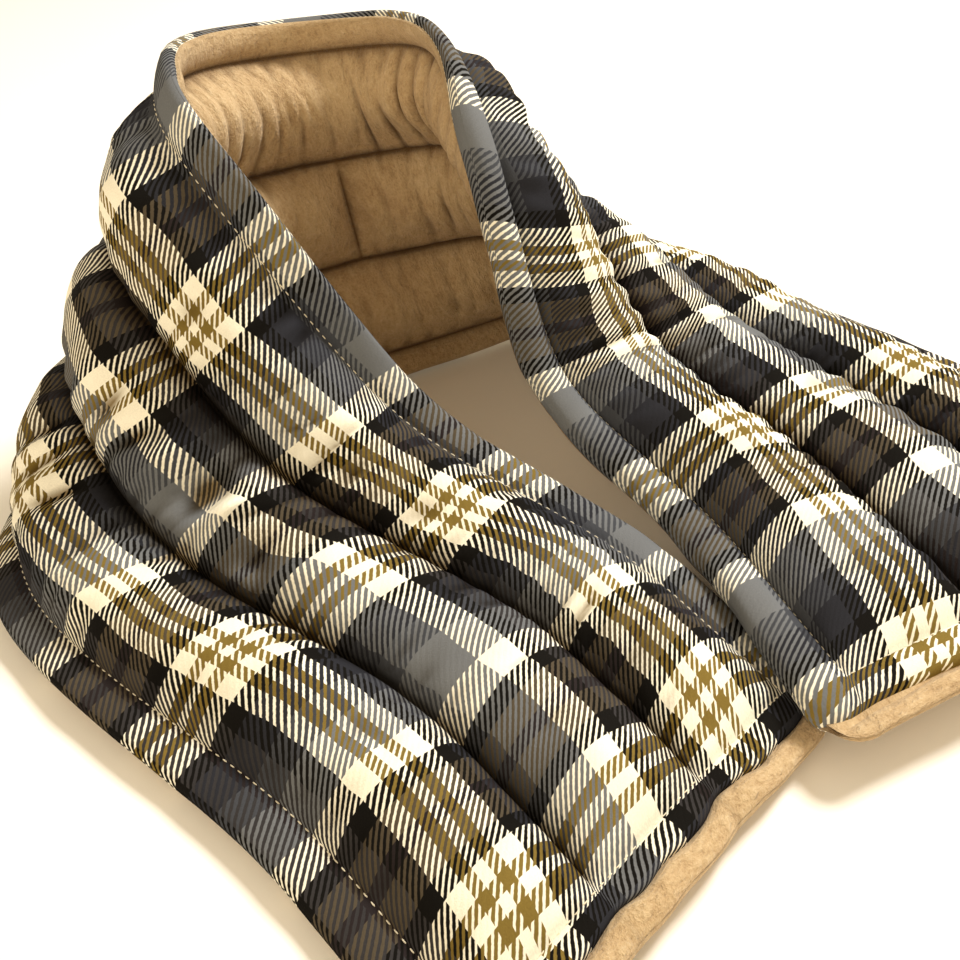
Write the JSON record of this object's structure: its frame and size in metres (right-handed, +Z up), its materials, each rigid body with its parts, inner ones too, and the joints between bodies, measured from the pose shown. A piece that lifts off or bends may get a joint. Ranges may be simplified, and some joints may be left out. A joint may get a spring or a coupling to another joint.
{
  "type": "neck and shoulder wrap",
  "caption": "Quilted fabric neck wrap of plaid flannel and fleece with grain filled channels, bent into an open U that stands as a collar at the back.",
  "frame": {"origin": "on the table, under the middle of the wrap's box at rest", "axes": "+Z up; the back of the neck is towards +Y and the opening towards -Y; the left leg, on the -X side, is the one nearest the viewer"},
  "size_m": [0.3421, 0.3294, 0.1473],
  "materials": {
    "plaid_flannel": "brushed twill flannel, black, grey, cream and olive plaid",
    "tan_fleece": "soft matte camel fleece with a short pile",
    "grain": "dry matte grain husk",
    "cream_thread": "matte cotton topstitching thread"
  },
  "bodies": {
    "neck": {"neck_plaid_face": "plaid_flannel", "neck_fleece_lining": "tan_fleece", "neck_inner_fill": "grain", "neck_middle_fill_left": "grain", "neck_middle_fill_right": "grain", "neck_outer_fill": "grain", "neck_edge_stitching": "cream_thread", "neck_channel_seams": "cream_thread", "neck_cross_seam": "cream_thread"},
    "left_leg": {"left_leg_plaid_face": "plaid_flannel", "left_leg_fleece_lining": "tan_fleece", "left_leg_inner_fill": "grain", "left_leg_middle_fill": "grain", "left_leg_outer_fill": "grain", "left_leg_edge_stitching": "cream_thread", "left_leg_channel_seams": "cream_thread", "left_leg_end_stitching": "cream_thread"},
    "right_leg": {"right_leg_plaid_face": "plaid_flannel", "right_leg_fleece_lining": "tan_fleece", "right_leg_inner_fill": "grain", "right_leg_middle_fill": "grain", "right_leg_outer_fill": "grain", "right_leg_edge_stitching": "cream_thread", "right_leg_channel_seams": "cream_thread", "right_leg_end_stitching": "cream_thread"}
  },
  "joints": [
    {"name": "left_leg_swing", "type": "hinge", "parent": "neck", "child": "left_leg", "pos_m": [-0.0966, 0.1542, 0], "axis": [0, 0, -1], "range_deg": [0, 28]},
    {"name": "right_leg_swing", "type": "hinge", "parent": "neck", "child": "right_leg", "pos_m": [0.0734, 0.1422, 0], "axis": [0, 0, 1], "range_deg": [0, 28]}
  ]
}
